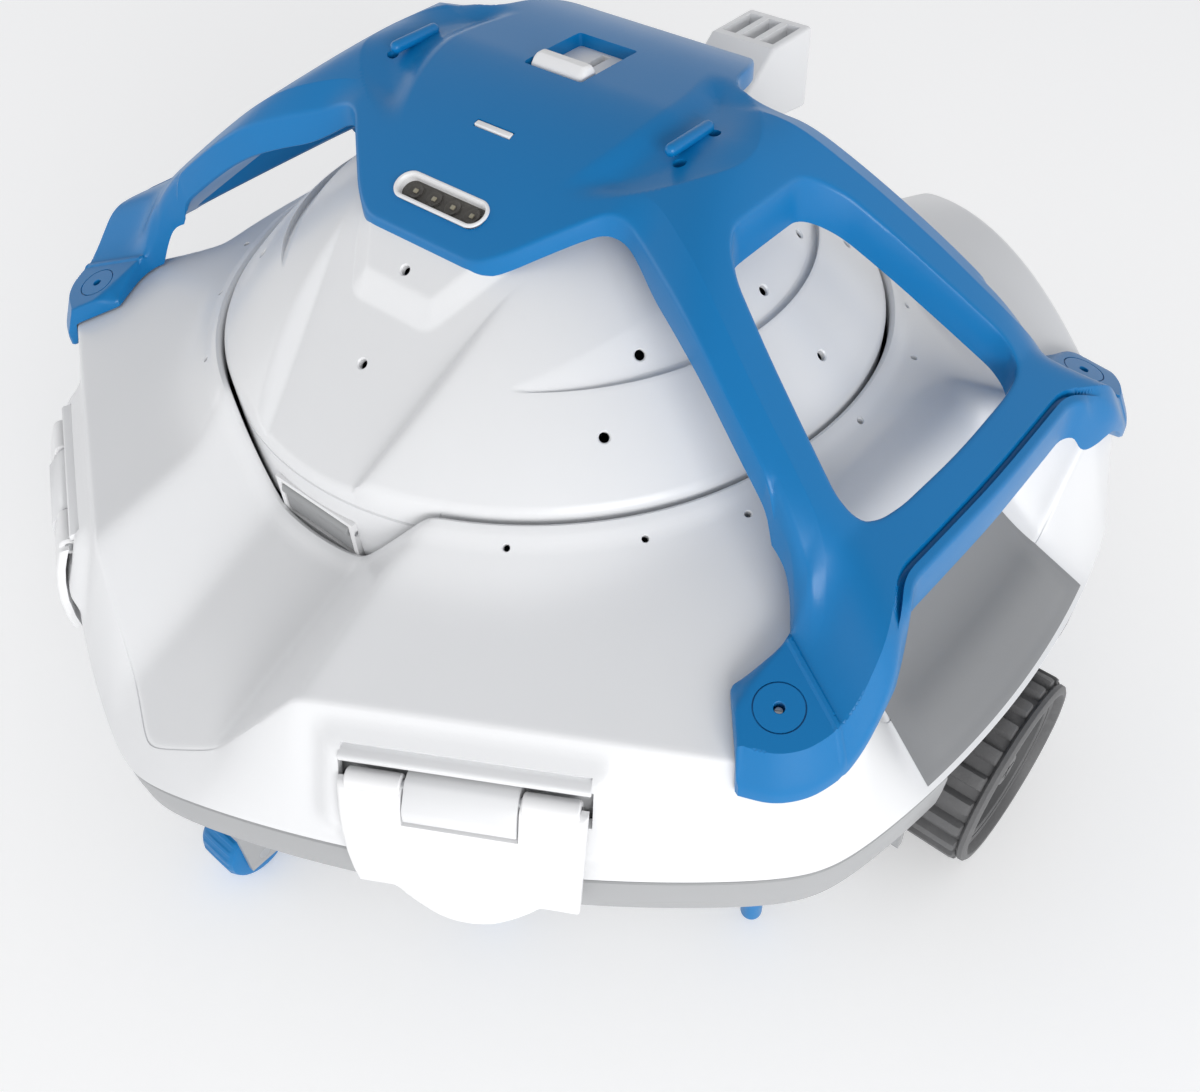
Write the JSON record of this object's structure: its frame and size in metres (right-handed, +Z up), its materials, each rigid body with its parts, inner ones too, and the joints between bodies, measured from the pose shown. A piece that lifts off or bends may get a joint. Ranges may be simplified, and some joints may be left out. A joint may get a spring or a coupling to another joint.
{
  "type": "pool cleaner",
  "caption": "Cordless water-jet pool cleaner: six-sided hull with domed cover, arched lifting frame, side wheels, rollers and latches.",
  "frame": {"origin": "on the floor under the middle of the cleaner, at the bottom centre of its box", "axes": "+X to the cleaner's right side, along the wheel axles; +Y to its back; +Z up; the nose points along -Y"},
  "size_m": [0.384, 0.3786, 0.2138],
  "materials": {
    "white_shell": "glossy white moulded shell",
    "blue_frame": "satin blue moulded frame",
    "blue_trim": "satin blue moulded roller",
    "grey_base": "satin light grey moulding",
    "white_trim": "satin white small moulding",
    "dark_plastic": "matt dark grey moulding",
    "wheel_rubber": "matt dark grey rubber",
    "black_rubber": "black rubber",
    "clear_lens": "clear plastic window",
    "circuit_board": "green circuit board",
    "battery_wrap": "shrink-wrapped cells",
    "filter_cloth": "fine filter cloth",
    "steel": "stainless steel"
  },
  "bodies": {
    "hull": {"upper_shell": "white_shell", "dome_cover": "white_shell", "handle_frame": "blue_frame", "foot_screws": "steel", "base_shell": "grey_base", "base_seal": "black_rubber", "latch_brackets": "white_shell", "latch_pins": "steel", "axle_stubs": "steel", "wheel_wells": "grey_base", "roller_forks": "grey_base", "roller_pins": "steel", "glide_studs": "blue_trim", "led_bezel": "white_trim", "led_lens": "clear_lens", "led_board": "circuit_board", "light_pipe": "white_trim", "switch_plate": "white_trim", "control_board": "circuit_board", "pod_housing": "grey_base", "pod_lid": "grey_base", "pod_seal": "black_rubber", "drive_motor": "steel", "shaft_seal": "black_rubber", "pump_ring": "white_trim", "battery_cells": "battery_wrap", "outlet_ducts": "white_trim", "flap_pins": "steel", "nozzle_seat": "white_trim", "intake_port": "grey_base", "intake_pins": "steel", "filter_frame": "white_trim", "filter_mesh": "filter_cloth", "ballast_weights": "steel", "pod_screws": "steel", "charge_plug": "black_rubber"},
    "latch_front_right": {"latch_front_right": "white_shell"},
    "latch_front_left": {"latch_front_left": "white_shell"},
    "latch_back_left": {"latch_back_left": "white_shell"},
    "latch_back_right": {"latch_back_right": "white_shell"},
    "wheel_right": {"wheel_rim_right": "dark_plastic", "wheel_tyre_right": "wheel_rubber", "wheel_bush_right": "white_trim", "wheel_cap_right": "dark_plastic"},
    "wheel_left": {"wheel_rim_left": "dark_plastic", "wheel_tyre_left": "wheel_rubber", "wheel_bush_left": "white_trim", "wheel_cap_left": "dark_plastic"},
    "roller_front": {"roller_front": "blue_trim"},
    "roller_back": {"roller_back": "blue_trim"},
    "power_switch": {"switch_slider": "white_trim"},
    "rotor": {"motor_shaft": "steel", "impeller": "dark_plastic"},
    "flap_front": {"outlet_flap_front": "grey_base"},
    "flap_back": {"outlet_flap_back": "grey_base"},
    "jet_nozzle": {"rear_nozzle": "white_shell"},
    "intake_front": {"intake_flap_front": "black_rubber"},
    "intake_back": {"intake_flap_back": "black_rubber"}
  },
  "joints": [
    {"name": "latch_front_right_swing", "type": "hinge", "parent": "hull", "child": "latch_front_right", "pos_m": [0.0846, -0.14814, 0.101], "axis": [-0.8684, -0.4959, 0], "range_deg": [0, 70]},
    {"name": "latch_front_left_swing", "type": "hinge", "parent": "hull", "child": "latch_front_left", "pos_m": [-0.0846, -0.14814, 0.101], "axis": [-0.8684, 0.4959, 0], "range_deg": [0, 70]},
    {"name": "latch_back_left_swing", "type": "hinge", "parent": "hull", "child": "latch_back_left", "pos_m": [-0.0846, 0.14814, 0.101], "axis": [0.8684, 0.4959, 0], "range_deg": [0, 70]},
    {"name": "latch_back_right_swing", "type": "hinge", "parent": "hull", "child": "latch_back_right", "pos_m": [0.0846, 0.14814, 0.101], "axis": [0.8684, -0.4959, 0], "range_deg": [0, 70]},
    {"name": "wheel_right_spin", "type": "hinge", "parent": "hull", "child": "wheel_right", "pos_m": [0.178, 0, 0.034], "axis": [1, 0, 0], "continuous": true},
    {"name": "wheel_left_spin", "type": "hinge", "parent": "hull", "child": "wheel_left", "pos_m": [-0.178, 0, 0.034], "axis": [1, 0, 0], "continuous": true},
    {"name": "roller_front_spin", "type": "hinge", "parent": "hull", "child": "roller_front", "pos_m": [0, -0.169, 0.012], "axis": [1, 0, 0], "continuous": true},
    {"name": "roller_back_spin", "type": "hinge", "parent": "hull", "child": "roller_back", "pos_m": [0, 0.169, 0.012], "axis": [1, 0, 0], "continuous": true},
    {"name": "power_switch_slide", "type": "slide", "parent": "hull", "child": "power_switch", "axis": [0, 1, 0], "range_m": [0, 0.013]},
    {"name": "rotor_spin", "type": "hinge", "parent": "hull", "child": "rotor", "pos_m": [0, 0, 0.12], "axis": [0, 0, 1], "continuous": true},
    {"name": "flap_front_swing", "type": "hinge", "parent": "hull", "child": "flap_front", "pos_m": [0, -0.1074, 0.12], "axis": [-1, 0, 0], "range_deg": [0, 60]},
    {"name": "flap_back_swing", "type": "hinge", "parent": "hull", "child": "flap_back", "pos_m": [0, 0.1074, 0.12], "axis": [1, 0, 0], "range_deg": [0, 60]},
    {"name": "jet_nozzle_swivel", "type": "hinge", "parent": "hull", "child": "jet_nozzle", "pos_m": [0, 0.094, 0.15], "axis": [0, 0, 1], "range_deg": [-35, 35]},
    {"name": "intake_front_lift", "type": "hinge", "parent": "hull", "child": "intake_front", "pos_m": [0, -0.0032, 0.026], "axis": [-1, 0, 0], "range_deg": [0, 60]},
    {"name": "intake_back_lift", "type": "hinge", "parent": "hull", "child": "intake_back", "pos_m": [0, 0.0032, 0.026], "axis": [1, 0, 0], "range_deg": [0, 60]}
  ]
}
